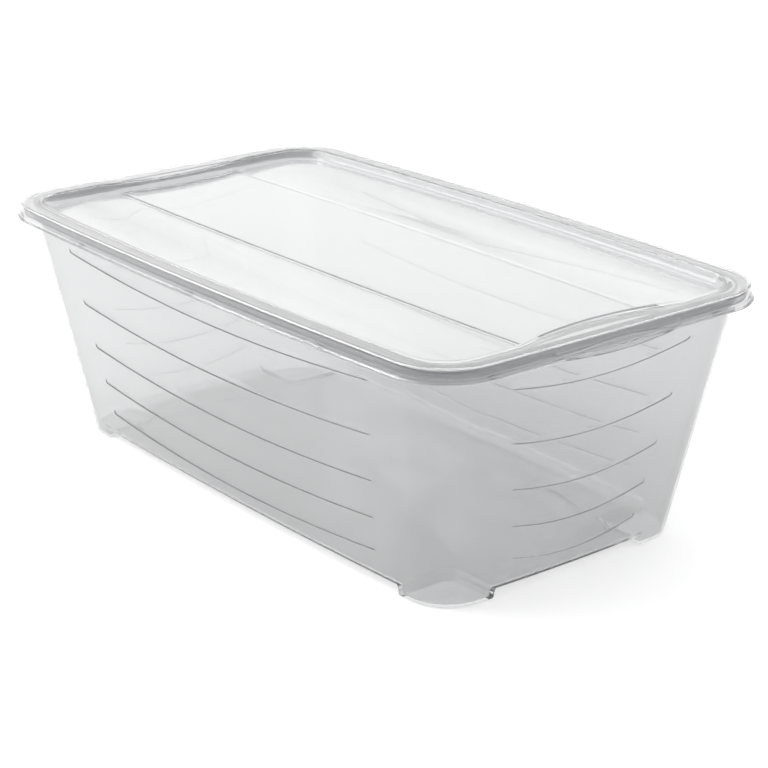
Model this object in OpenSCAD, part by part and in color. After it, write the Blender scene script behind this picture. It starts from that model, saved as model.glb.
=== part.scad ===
// Clear lidded storage box: a drafted tub on four hollow corner feet and a
// snap-over lid with a sunken panel. Units are millimetres, +Z is up, X runs
// along the length, and the origin is on the ground at the middle of the box.

/* [Overall size] */
// Overall length across the lid's lower lip
box_length = 338; // [320:1:420]
// Overall width across the lid's lower lip
box_width = 200; // [186:1:240]
// Overall height from the feet to the top of the lid's ledge
box_height = 117; // [96:1:142]
// Wall thickness of the tub
wall = 1.4; // [1:0.1:1.8]

/* [Tub] */
// How far the long walls lean in from the rim to the floor
long_lean = 18.7; // [10:0.2:22]
// How far the end walls lean in from the rim to the floor
end_lean = 19.4; // [10:0.2:22]
// Corner radius of the tub at the floor
floor_corner = 20.4; // [14:0.5:24]
// Corner radius of the tub at the rim
rim_corner = 24; // [20:0.5:28]
// Radius where the walls turn into the floor
floor_fillet = 2.6; // [1.5:0.1:4]
// Outward bow of the long sides at the rim
long_bow = 4.7; // [0:0.1:6]
// Outward bow of the end sides at the rim
end_bow = 0.6; // [0:0.1:3]

/* [Feet] */
// Height of the floor above the ground
foot_height = 3.9; // [2:0.1:6]
// Length of each foot along the long side
foot_length = 29; // [22:0.5:36]
// Length of each foot along the end side
foot_width = 32; // [24:0.5:36]
// Lean of the inner sides of the feet
foot_lean = 2.2; // [1:0.1:3]

/* [Ribs] */
// Height of the sloping face of each curved wall rib
rib_width = 2.2; // [1.6:0.1:3]
// How far each rib's sharp lower edge stands out of the wall
rib_depth = 0.6; // [0.3:0.05:0.8]
// Sag of each rib from its ends to its middle
rib_sag = 5; // [2:0.25:6]

/* [Lid] */
// Height of the lid's skirt
skirt_height = 7.2; // [6.5:0.1:10]
// Clearance between the wall of the sunken panel and the long walls of the tub
recess_gap = 1.7; // [0.8:0.1:2.4]
// Depth of the sunken panel below the ledge
panel_depth = 5.2; // [4:0.1:7]
// Thickness of the lid
lid_wall = 1.3; // [1:0.1:1.4]
// Corner radius of the lid's lower lip
lid_corner = 28.9; // [26:0.5:34]
// Half width of the raised band along the panel
band_half = 38.7; // [30:0.5:44]
// Height of the raised band above the panel
band_rise = 0.9; // [0.5:0.1:1.2]
// How far the ledge swells inward at the middle of each end
swell = 6.8; // [3:0.2:9]
// Half width of each inward swell
swell_half = 45; // [38:0.5:50]

/* [Grip] */
// Half width of the shallow arched scoop in the skirt at each end
scoop_half = 35; // [30:0.5:40]
// Height of that scoop above the skirt's lower edge
scoop_height = 4; // [3:0.1:4.8]
// Half width of the curved lifting tab on the lip at each end
tab_half = 30; // [20:0.5:34]
// How far the lifting tab stands out past the lip
tab_out = 1.8; // [1:0.1:4]
// How far the lifting tab hangs below the lip
tab_drop = 1.2; // [0:0.1:2]

/* [Hidden] */

arc_steps = 7;                 // segments round each corner
long_steps = 12;               // segments along each long side
tub_end_steps = 8;             // segments along each end side of the tub
lid_end_steps = 24;            // segments along each end side of the lid
fillet_steps = 3;              // segments in each small edge rounding
fit_gap = 0.5;                 // running gap between the rim and the skirt
lip_out = 0.8;                 // how far the lower lip stands out of the skirt
lip_high = 1.3;                // height of the lower lip
skirt_lean = 0.7;              // inward lean of the skirt over its height
hem_drop = 4.2;                // height of the rim's turned-down hem
hem_wall = 1.3;                // thickness of the rim's turned-down hem
edge_round = 1.1;              // rounding of the lid's outer top edge
rim_over = 7;                  // overhang of the lip past the tub's long walls
rim_over_end = 5.6;            // overhang of the lip past the tub's end walls
floor_bow = 0.78;              // share of the rim's long bow left at the floor
floor_end_bow = 3;             // outward bow of the end sides at the floor
// Each row of ribs: height of its ends as a share of the rim's height, half length
// on the long walls as a share of half the length, and half length on the end walls
// as a share of half the width
rib_rows = [[0.862, 0.68, 0.495], [0.641, 0.66, 0.445], [0.449, 0.642, 0.406],
            [0.292, 0.624, 0.378], [0.152, 0.61, 0.352]];
rib_steps = 8;                 // segments along each rib
rib_root = 0.6;                // how far each rib reaches back into the wall
rib_edge = 0.3;                // height of each rib's upright lower edge
rib_tip = 0.6;                 // share of its depth that a rib keeps at its tips
pad_inset = 1;                 // margin of the shallow pad on each swell
pad_depth = 0.45;              // depth of the shallow pad on each swell
pad_half = 33;                 // half width of that shallow pad
end_extra = 0.5;               // extra ledge width at the two ends
recess_lean = 2;               // inward lean of the recess wall over its depth
recess_turn = 0.9;             // gain of the recess corner radius per unit of inset
band_pinch = 2.7;              // how far the band's edges draw in towards the ends
band_wall = 1.2;               // margin of the hollow under the band
scoop_round = 2;               // radius of the scoop's top corners
scoop_depth = 0.25;            // depth of the scoop halfway up the skirt
foot_round = 6;                // radius of each foot's inner corner
foot_edge = 0.9;               // height of the rounding under the feet
rim_round = 0.7;               // rounding of the rim's outer top edge
skin_round = 0.6;              // rounding of the other sheet edges
hem_inset = lip_out + skirt_lean + lid_wall + fit_gap;
ledge_width = rim_over + wall + recess_gap + lid_wall;
tab_steps = 16;                // segments along each lifting tab
tab_edge = 0.9;                // thickness of the tab's free edge
tab_rise = 1.8;                // height of the tab's flare above the lip
tab_taper = 0.95;              // share by which the tab shrinks at its tips
nub_half = 6;                  // half length of each snap nub under the skirt
nub_round = 0.85;              // radius of each snap nub
nub_low = 0.1;                 // height of the nubs above the lower lip's underside
nub_x = [-0.54, 0, 0.54];      // snap nubs on the long sides, as shares of half of it
nub_y = 0.62;                  // snap nubs on the end sides, as a share of half of it
slack = 0.02;                  // overlap that keeps unions and cuts clean

half_l = box_length / 2;
half_w = box_width / 2;
lip_z = box_height - skirt_height;
rim_z = box_height - lid_wall;
floor_z = foot_height;
panel_z = box_height - panel_depth;

// Tub wall outline at height z, pulled in by d
function share(z) = (z - floor_z) / (rim_z - floor_z);
function tub_a(z) = half_l - rim_over_end - end_lean * (1 - share(z));
function tub_b(z) = half_w - rim_over - long_lean * (1 - share(z));
function tub_r(z) = floor_corner + (rim_corner - floor_corner) * share(z);
function tub_u(z) = long_bow * (floor_bow + (1 - floor_bow) * share(z));
function tub_v(z) = floor_end_bow + (end_bow - floor_end_bow) * share(z);
function tub_ring(z, d = 0) =
    outline(tub_a(z) - d, tub_b(z) - d, tub_r(z) - d, tub_u(z), tub_v(z), z,
            tub_end_steps);

// Outline pulled in by d from the lower lip, with optional end swell g
function lip_ring(z, d, steps, r_more = 0, a_less = 0, g = 0) =
    outline(half_l - d - a_less, half_w - d, lid_corner - d + r_more,
            long_bow, end_bow, z, steps, g);
function skirt_ring(z, d) = lip_ring(z, d, lid_end_steps);
function recess_ring(z, d) =
    lip_ring(z, d, lid_end_steps, (d - ledge_width) * recess_turn, end_extra, swell);

// Outermost wall positions at height z: y along the long side, x along the end
function long_face(x, z) = tub_b(z) - tub_u(z) * pow(x / tub_a(z), 2);
function end_face(y, z) = tub_a(z) - tub_v(z) * pow(y / tub_b(z), 2);

// Unit normals of the bowed long side at x and the bowed end side at y
function long_normal(a, u, x) = let (s = 2 * u * x / (a * a)) [s, 1] / norm([s, 1]);
function end_normal(b, v, y) = let (s = 2 * v * y / (b * b)) [1, s] / norm([1, s]);

// Centre of the corner arc that meets both bowed sides without a kink
function arc_centre(a, b, r, u, v, c, n) = n == 0 ? c :
    let (n1 = long_normal(a, u, c.x), n2 = end_normal(b, v, c.y),
         x1 = c.x + r * n1.x, y2 = c.y + r * n2.y)
    arc_centre(a, b, r, u, v,
               [a - v * pow(y2 / b, 2) - r * n2.x,
                b - u * pow(x1 / a, 2) - r * n1.y], n - 1);

// Closed outline at height z, anticlockwise from above, as 3-D points
function outline(a, b, r, u, v, z, steps, g = 0) =
    let (c = arc_centre(a, b, r, u, v, [a - r, b - r], 8),
         n1 = long_normal(a, u, c.x), n2 = end_normal(b, v, c.y),
         t1 = atan2(n2.y, n2.x), t2 = atan2(n1.y, n1.x),
         x1 = c.x + r * n1.x, y2 = c.y + r * n2.y,
         side = [for (i = [0:steps - 1]) let (y = y2 * (2 * i / steps - 1))
                 [a - v * pow(y / b, 2) - g * max(0, 1 - pow(y / swell_half, 2)), y]],
         turn = [for (i = [0:arc_steps - 1]) let (t = t1 + (t2 - t1) * i / arc_steps)
                 [c.x + r * cos(t), c.y + r * sin(t)]],
         back = [for (i = [0:long_steps - 1]) let (x = x1 * (1 - 2 * i / long_steps))
                 [x, b - u * pow(x / a, 2)]],
         turn2 = [for (i = [0:arc_steps - 1]) let (t = t2 + (t1 - t2) * i / arc_steps)
                  [-c.x - r * cos(t), c.y + r * sin(t)]],
         near = concat(side, turn, back, turn2))
    concat([for (p = near) [p.x, p.y, z]],
           [for (p = near) [-p.x, -p.y, z]]);

// One closed solid through a stack of outlines that share a point count
module loft(rings) {
    n = len(rings[0]);
    last = len(rings) - 1;
    polyhedron(
        points = [for (ring = rings) for (p = ring) p],
        faces = concat(
            [[for (j = [0:n - 1]) j]],
            [for (i = [0:last - 1]) for (j = [0:n - 1])
                [i * n + j, (i + 1) * n + j, (i + 1) * n + (j + 1) % n]],
            [for (i = [0:last - 1]) for (j = [0:n - 1])
                [i * n + j, (i + 1) * n + (j + 1) % n, i * n + (j + 1) % n]],
            [[for (j = [0:n - 1]) last * n + n - 1 - j]]),
        convexity = 8);
}

// Rings of a rounded edge between a floor and a wall, from the floor upward
function fillet(z, r, d, up = true) =
    [for (i = [0:fillet_steps])
        let (t = 90 * (up ? i : fillet_steps - i) / fillet_steps)
        tub_ring(z + r * (1 - cos(t)), d + r * (1 - sin(t)))];

module tub_shell() {
    hem_in = hem_inset + hem_wall;
    hem_z = rim_z - hem_drop;
    loft(concat(
        fillet(floor_z, floor_fillet, 0),
        [tub_ring(rim_z - wall - skin_round),
         lip_ring(rim_z - wall, hem_in, tub_end_steps),
         lip_ring(hem_z, hem_in, tub_end_steps),
         lip_ring(hem_z, hem_inset, tub_end_steps),
         lip_ring(rim_z - rim_round, hem_inset, tub_end_steps),
         lip_ring(rim_z, hem_inset + rim_round, tub_end_steps),
         tub_ring(rim_z, wall - skin_round),
         tub_ring(rim_z - skin_round, wall)],
        fillet(floor_z + wall, floor_fillet, wall, false)));
}

// Corner block that a foot is cut from, shrunk by d, from z_low to z_high
module foot_block(d, z_low, z_high) {
    x0 = tub_a(0) - foot_length;
    y0 = tub_b(0) - foot_width;
    r = foot_round - d;
    hull() for (s = [[z_low, foot_lean], [z_low + foot_edge, foot_lean / 2], [z_high, 0]])
        for (p = [[0, 0], [foot_length, 0], [0, foot_width]])
            translate([x0 + d + r + s[1] + p.x, y0 + d + r + s[1] + p.y, s[0]])
                cylinder(r = r, h = slack, $fn = 32);
}

module foot(d, z_low, z_high) {
    intersection() {
        loft([tub_ring(z_low, d + foot_edge), tub_ring(z_low + foot_edge / 3, d + foot_edge / 3),
              tub_ring(z_low + foot_edge, d + slack), tub_ring(z_high, d + slack)]);
        foot_block(d, z_low, z_high);
    }
}

module feet(d, z_low, z_high) {
    for (sx = [0, 1]) for (sy = [0, 1])
        mirror([sx, 0, 0]) mirror([0, sy, 0]) foot(d, z_low, z_high);
}

// Wedge section of a rib, o beyond the wall face, shrunk by k at its tips
function rib_section(o, k) =
    [[o - rib_root, 0], [o + rib_depth * k, 0], [o + rib_depth * k, rib_edge],
     [o, rib_width], [o - rib_root, rib_width]];
function rib_z(row, t) = rim_z * row[0] - rib_sag * (1 - t * t);
function rib_fade(t) = abs(t) == 1 ? rib_tip : 1;

module ribs(o) {
    for (row = rib_rows, side = [0, 1]) {
        mirror([0, side, 0]) loft([for (i = [0:rib_steps])
            let (t = 2 * i / rib_steps - 1, x = row[1] * half_l * t, z = rib_z(row, t))
            [for (p = rib_section(o, rib_fade(t)))
                [x, long_face(x, z + p.y) + p.x, z + p.y]]]);
        mirror([side, 0, 0]) loft([for (i = [0:rib_steps])
            let (t = 1 - 2 * i / rib_steps, y = row[2] * half_w * t, z = rib_z(row, t))
            [for (p = rib_section(o, rib_fade(t)))
                [end_face(y, z + p.y) + p.x, y, z + p.y]]]);
    }
}

module tub() {
    color([0.8, 0.82, 0.83, 0.5])
    difference() {
        union() {
            tub_shell();
            feet(0, 0, floor_z + floor_fillet + 1);
            ribs(0);
        }
        feet(wall, wall, floor_z + wall + floor_fillet + slack);
        ribs(-wall);
    }
}

module lid_shell() {
    inner = lip_out + lid_wall;
    inner_top = inner + skirt_lean;
    outer_top = lip_out + skirt_lean;
    low = ledge_width + recess_lean;
    under = box_height - lid_wall;
    lip_round = lip_high / 3;
    loft(concat(
        [recess_ring(panel_z - lid_wall, low - lid_wall + skin_round),
         recess_ring(panel_z - lid_wall + skin_round, low - lid_wall),
         recess_ring(under - skin_round, ledge_width - lid_wall),
         recess_ring(under, ledge_width - lid_wall - skin_round),
         skirt_ring(under, inner_top + skin_round),
         skirt_ring(under - skin_round, inner_top),
         skirt_ring(lip_z, inner),
         skirt_ring(lip_z, lip_round),
         skirt_ring(lip_z + lip_round, 0),
         skirt_ring(lip_z + lip_high - lip_round, 0),
         skirt_ring(lip_z + lip_high, lip_out)],
        [for (i = [0:fillet_steps]) let (t = 90 * i / fillet_steps)
            skirt_ring(box_height - edge_round * (1 - sin(t)),
                       outer_top + edge_round * (1 - cos(t)))],
        [recess_ring(box_height, ledge_width - skin_round),
         recess_ring(box_height - skin_round / 3, ledge_width - skin_round / 3),
         recess_ring(box_height - skin_round, ledge_width),
         recess_ring(panel_z + skin_round, low - slack),
         recess_ring(panel_z, low + skin_round)]));
}

// Raised band along the panel, as a plan shape drawn in by d
module band_plan(d) {
    ring = recess_ring(0, ledge_width + recess_lean - skin_round + d);
    edge = [for (i = [0:long_steps]) let (x = half_l * (2 * i / long_steps - 1))
            [x, band_half - d - band_pinch * pow(x / half_l, 2)]];
    intersection() {
        polygon([for (p = ring) [p.x, p.y]]);
        polygon(concat([for (p = edge) [-p.x, -p.y]], edge));
    }
}

module band(d, z_low, z_high) {
    translate([0, 0, z_low]) linear_extrude(z_high - z_low) band_plan(d);
}

// Shallow lens-shaped pad on the swell of each end ledge
module pads() {
    x0 = half_l - ledge_width - end_extra;
    plan = [for (i = [0:lid_end_steps]) let (y = pad_half * (2 * i / lid_end_steps - 1))
            [x0 - swell * (1 - pow(y / swell_half, 2)) + pad_inset, y]];
    for (side = [0, 1]) mirror([side, 0, 0])
        translate([0, 0, box_height - pad_depth]) linear_extrude(1)
            polygon(concat([[x0, -pad_half]], plan, [[x0, pad_half]]));
}

// Shallow arched scoop in the face of the skirt at each end, above the lip
module scoops() {
    r = scoop_round;
    low = lip_z + lip_high;
    reach = lip_out + 1;
    face = half_l - lip_out - skirt_lean / 2 - scoop_depth;
    for (side = [0, 1]) mirror([side, 0, 0]) intersection() {
        hull() for (y = [-scoop_half + r, scoop_half - r], z = [low, lip_z + scoop_height - r])
            translate([face, y, z]) rotate([0, 90, 0]) cylinder(r = r, h = reach, $fn = 32);
        translate([face, -scoop_half, low]) cube([reach, 2 * scoop_half, scoop_height]);
    }
}

// Lifting tab that flares out of the lip at each end, thinning to nothing at its tips
module tabs() {
    root = lip_out + lid_wall / 2;
    for (side = [0, 1]) mirror([side, 0, 0])
        loft([for (i = [0:tab_steps])
            let (t = 1 - 2 * i / tab_steps, y = tab_half * t, s = 1 - tab_taper * t * t,
                 x = half_l - end_bow * pow(y / half_w, 2), z = lip_z - tab_drop * s)
            [[x - root, y, lip_z + slack],
             [x + (tab_out - tab_edge / 2) * s, y, z],
             [x + tab_out * s, y, z + tab_edge / 2],
             [x + (tab_out - tab_edge / 2) * s, y, z + tab_edge],
             [x - lip_out / 2, y, lip_z + lip_high + tab_rise * s / 3],
             [x - root, y, lip_z + lip_high + tab_rise * s]]]);
}

// Small nubs inside the skirt that snap under the rim's hem
module nub(p, dir) {
    hull() for (s = [-nub_half, nub_half])
        translate([p.x + s * dir.x, p.y + s * dir.y, lip_z + nub_round + nub_low])
            sphere(r = nub_round, $fn = 12);
}

module nubs() {
    d = lip_out + lid_wall;
    for (side = [-1, 1]) {
        for (s = nub_x)
            nub([s * half_l, side * (half_w - d - long_bow * s * s)], [1, 0]);
        for (s = [-nub_y, nub_y])
            nub([side * (half_l - d - end_bow * s * s), s * half_w], [0, 1]);
    }
}

module lid() {
    color([0.84, 0.86, 0.87, 0.5]) union() {
        difference() {
            union() {
                lid_shell();
                band(0, panel_z - lid_wall / 2, panel_z + band_rise);
                nubs();
            }
            band(band_wall, panel_z - lid_wall - 1, panel_z - lid_wall + band_rise);
            pads();
            scoops();
        }
        tabs();
    }
}

tub();
lid();
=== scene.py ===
"""Clear lidded storage box: a drafted tub with curved wall ribs and hollow corner
feet, and a snap-over lid with a sunken panel, dressed as clear grey plastic.

Sizes are in millimetres inside the classes and become metres in the meshes. +Z is
up, X runs along the length, and the origin is on the ground under the box.
"""

import logging
import math
from dataclasses import dataclass, field
from enum import Enum

import bmesh
import bpy
from mathutils import Matrix, Quaternion, Vector


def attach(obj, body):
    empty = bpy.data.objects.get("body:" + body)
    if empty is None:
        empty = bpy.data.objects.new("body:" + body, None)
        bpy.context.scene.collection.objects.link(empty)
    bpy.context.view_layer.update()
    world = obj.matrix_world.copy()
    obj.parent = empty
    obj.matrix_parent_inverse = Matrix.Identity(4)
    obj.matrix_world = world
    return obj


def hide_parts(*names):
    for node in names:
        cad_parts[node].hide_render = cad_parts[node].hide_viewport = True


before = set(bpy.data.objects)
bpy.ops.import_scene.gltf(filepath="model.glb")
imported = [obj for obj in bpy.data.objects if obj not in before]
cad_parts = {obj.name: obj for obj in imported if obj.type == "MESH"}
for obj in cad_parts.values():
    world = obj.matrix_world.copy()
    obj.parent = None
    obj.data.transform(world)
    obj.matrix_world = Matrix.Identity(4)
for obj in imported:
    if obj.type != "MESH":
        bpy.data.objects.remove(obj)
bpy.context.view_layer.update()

Point = tuple[float, float, float]
Level = list[Point]
Colour = tuple[float, float, float]

MM = 0.001
MERGE_WITHIN = 2e-6  # metres
SMOOTH_UP_TO = 38.0  # degrees
LOG = logging.getLogger("storage_box")


class Cut(Enum):
    """How one solid changes another."""

    ADD = "UNION"
    TAKE = "DIFFERENCE"


class Ramp(Enum):
    """How a ramp rises between its ends."""

    STRAIGHT = "LINEAR"
    SMOOTH = "SMOOTHSTEP"


# --------------------------------------------------------------------------
# Plan outlines and lofts
# --------------------------------------------------------------------------


@dataclass(frozen=True)
class Stations:
    """Where points sit along a quarter of an outline.

    Attributes:
        end: shares of the end side, from its middle (0) to its tangent point (1).
        turn: number of steps round the corner.
        long: shares of the long side, from its middle (0) to its tangent point.
    """

    end: tuple[float, ...]
    turn: int
    long: tuple[float, ...]


@dataclass(frozen=True)
class Spot:
    """One point of an outline.

    Attributes:
        x: its place along the length.
        y: its place along the width.
        nx: its outward normal along the length.
        ny: its outward normal along the width.
        on_end: whether it lies on an end side.
        on_long: whether it lies on a long side.
    """

    x: float
    y: float
    nx: float
    ny: float
    on_end: bool
    on_long: bool


@dataclass(frozen=True)
class Outline:
    """A rectangle with bowed sides and round corners, centred on the origin.

    Attributes:
        half_x: half the length, at the middle of the ends.
        half_y: half the width, at the middle of the long sides.
        corner: corner radius.
        long_bow: outward bow of the long sides.
        end_bow: outward bow of the ends.
        swell: inward swell at the middle of each end.
        swell_half: half width of that swell.
    """

    half_x: float
    half_y: float
    corner: float
    long_bow: float
    end_bow: float
    swell: float = 0.0
    swell_half: float = 45.0

    def centre(self) -> tuple[float, float]:
        """Return the centre of the corner arc that meets both sides smoothly.

        Returns:
            The centre, found by a few rounds of approach.
        """
        a, b, r = self.half_x, self.half_y, self.corner
        cx, cy = a - r, b - r
        rounds = 12
        for _ in range(rounds):
            lx, ly = self._long_normal(cx)
            ex, ey = self._end_normal(cy)
            x1, y2 = cx + r * lx, cy + r * ey
            cx = a - self.end_bow * (y2 / b) ** 2 - r * ex
            cy = b - self.long_bow * (x1 / a) ** 2 - r * ly
        return cx, cy

    def _long_normal(self, x: float) -> tuple[float, float]:
        """Return the outward normal of the long side.

        Args:
            x: where along the side.

        Returns:
            The normal's two parts.
        """
        slope = 2 * self.long_bow * x / self.half_x**2
        size = math.hypot(slope, 1.0)
        return slope / size, 1.0 / size

    def _end_normal(self, y: float) -> tuple[float, float]:
        """Return the outward normal of the end side.

        Args:
            y: where along the side.

        Returns:
            The normal's two parts.
        """
        slope = 2 * self.end_bow * y / self.half_y**2
        size = math.hypot(slope, 1.0)
        return 1.0 / size, slope / size

    def quarter(self, stations: Stations) -> list[Spot]:
        """Return the spots of the quarter with positive x and y.

        Args:
            stations: where the spots sit.

        Returns:
            The spots from the middle of the end to the middle of the long side.
        """
        cx, cy = self.centre()
        lx, ly = self._long_normal(cx)
        ex, ey = self._end_normal(cy)
        x1, y2 = cx + self.corner * lx, cy + self.corner * ey
        spots = []
        for share in stations.end:
            y = y2 * share
            x = self.half_x - self.end_bow * (y / self.half_y) ** 2
            x -= self.swell * max(0.0, 1 - (y / self.swell_half) ** 2)
            spots.append(Spot(x, y, *self._end_normal(y), True, False))
        low, high = math.atan2(ey, ex), math.atan2(ly, lx)
        for step in range(stations.turn + 1):
            angle = low + (high - low) * step / stations.turn
            nx, ny = math.cos(angle), math.sin(angle)
            spots.append(
                Spot(cx + self.corner * nx, cy + self.corner * ny, nx, ny, False, False)
            )
        for share in reversed(stations.long):
            x = x1 * share
            y = self.half_y - self.long_bow * (x / self.half_x) ** 2
            spots.append(Spot(x, y, *self._long_normal(x), False, True))
        return spots

    def ring(self, stations: Stations) -> list[Spot]:
        """Return the whole outline, anticlockwise from above.

        Args:
            stations: where the spots of each quarter sit.

        Returns:
            Four times the spots of a quarter, less the shared ones.
        """
        quarter = self.quarter(stations)
        there, back = quarter[:-1], quarter[:0:-1]

        def turned(spots: list[Spot], sx: int, sy: int) -> list[Spot]:
            """Mirror the spots of a quarter into another.

            Args:
                spots: the spots.
                sx: -1 to turn them round along the length, or 1.
                sy: -1 to turn them round along the width, or 1.

            Returns:
                The mirrored spots.
            """
            return [
                Spot(sx * s.x, sy * s.y, sx * s.nx, sy * s.ny, s.on_end, s.on_long)
                for s in spots
            ]

        return (
            turned(there, 1, 1)
            + turned(back, -1, 1)
            + turned(there, -1, -1)
            + turned(back, 1, -1)
        )


@dataclass(frozen=True)
class Lip:
    """The lid's lower lip in plan, which the tub's rim and the lid's skirt follow.

    Attributes:
        half_length: half the length across the lip.
        half_width: half the width across the lip.
        corner: corner radius.
        long_bow: outward bow of the long sides.
        end_bow: outward bow of the ends.
    """

    half_length: float = 169.0
    half_width: float = 100.0
    corner: float = 28.9
    long_bow: float = 4.7
    end_bow: float = 0.6

    def drawn_in(self, inset: float) -> Outline:
        """Return the outline that lies inside the lip.

        Args:
            inset: how far inside.

        Returns:
            The outline.
        """
        return Outline(
            self.half_length - inset,
            self.half_width - inset,
            self.corner - inset,
            self.long_bow,
            self.end_bow,
        )


LIP = Lip()


def quarter_turn(steps: int) -> list[tuple[float, float]]:
    """Return the sines and cosines of even steps through a quarter turn.

    Args:
        steps: number of steps.

    Returns:
        One pair more than there are steps.
    """
    angles = [math.pi / 2 * step / steps for step in range(steps + 1)]
    return [(math.sin(angle), math.cos(angle)) for angle in angles]


def loft(rings: list[Level]) -> bmesh.types.BMesh:
    """Extrude one ring of edges through a stack of levels and cap both ends.

    Args:
        rings: levels of points in millimetres, equal in number, anticlockwise seen
            from beyond the last level.

    Returns:
        A closed bmesh in metres with its faces outward.
    """
    bm = bmesh.new()
    first = bmesh.ops.create_circle(bm, cap_ends=False, segments=len(rings[0]), radius=1.0)
    verts = list(first["verts"])
    for vert, point in zip(verts, rings[0]):
        vert.co = Vector(point) * MM
    edges = bm.edges[:]
    bottom = edges
    for level in rings[1:]:
        grown = bmesh.ops.extrude_edge_only(bm, edges=edges)
        edges = [g for g in grown["geom"] if isinstance(g, bmesh.types.BMEdge)]
        fresh = {g for g in grown["geom"] if isinstance(g, bmesh.types.BMVert)}
        partner = {}
        for vert in verts:
            for edge in vert.link_edges:
                other = edge.other_vert(vert)
                if other in fresh:
                    partner[vert] = other
        verts = [partner[vert] for vert in verts]
        for vert, point in zip(verts, level):
            vert.co = Vector(point) * MM
    for loop in (bottom, edges):
        bmesh.ops.edgeloop_fill(bm, edges=loop)
    bmesh.ops.recalc_face_normals(bm, faces=bm.faces[:])
    return bm


def new_object(bm: bmesh.types.BMesh, name: str) -> bpy.types.Object:
    """Put a bmesh into a named object in the scene and free it.

    Args:
        bm: the finished bmesh.
        name: the object's name.

    Returns:
        The object, at the origin.
    """
    mesh = bpy.data.meshes.new(name)
    bm.to_mesh(mesh)
    bm.free()
    piece = bpy.data.objects.new(name, mesh)
    bpy.context.scene.collection.objects.link(piece)
    return piece


def combine(piece: bpy.types.Object, tool: bpy.types.Object, how: Cut) -> None:
    """Add a tool solid to a piece or take it away, and delete the tool.

    Args:
        piece: the object that is changed.
        tool: the object that is added or taken away.
        how: whether the tool is added or taken.
    """
    boolean = piece.modifiers.new("combine", "BOOLEAN")
    boolean.operation = how.value
    boolean.solver = "EXACT"
    boolean.object = tool
    graph = bpy.context.evaluated_depsgraph_get()
    result = bpy.data.meshes.new_from_object(piece.evaluated_get(graph))
    piece.modifiers.clear()
    old = piece.data
    piece.data = result
    bpy.data.meshes.remove(old)
    bpy.data.meshes.remove(tool.data)


def finish_shading(piece: bpy.types.Object) -> None:
    """Merge stray doubles and shade a piece smooth, but for its sharp edges.

    Args:
        piece: the object to shade.
    """
    bm = bmesh.new()
    bm.from_mesh(piece.data)
    bmesh.ops.remove_doubles(bm, verts=bm.verts[:], dist=MERGE_WITHIN)
    bmesh.ops.dissolve_degenerate(bm, edges=bm.edges[:], dist=MERGE_WITHIN)
    bm.to_mesh(piece.data)
    bm.free()
    piece.data.shade_smooth()
    piece.data.set_sharp_from_angle(angle=math.radians(SMOOTH_UP_TO))

# --------------------------------------------------------------------------
# Tub
# --------------------------------------------------------------------------


@dataclass(frozen=True)
class RibRow:
    """One curved rib that runs round the walls.

    Attributes:
        height: height of the rib's ends.
        half_long: half its length on the long walls.
        half_end: half its length on the end walls.
    """

    height: float
    half_long: float
    half_end: float


# Levels of the wall, as height at the corners and sag at the middle of each side,
# below the lowest rib and above the highest.
BELOW_RIBS = ((9.0, 0.9), (12.0, 2.6), (14.8, 4.3))
ABOVE_RIBS = ((105.5, 3.2), (109.0, 1.4), (112.0, 0.4))
# A rib's section: height above its sharp edge, and share of its full depth.
RIB_SECTION = (
    (-0.9, 0.0), (-0.22, 0.0), (-0.08, 0.12), (0.04, 0.75), (0.2, 1.0),
    (0.45, 0.93), (0.95, 0.62), (1.5, 0.3), (2.05, 0.07), (2.6, 0.0),
)  # fmt: skip
# Plain levels between two ribs, as shares of the gap between them.
BETWEEN_RIBS = (0.35, 0.6, 0.8)


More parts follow.
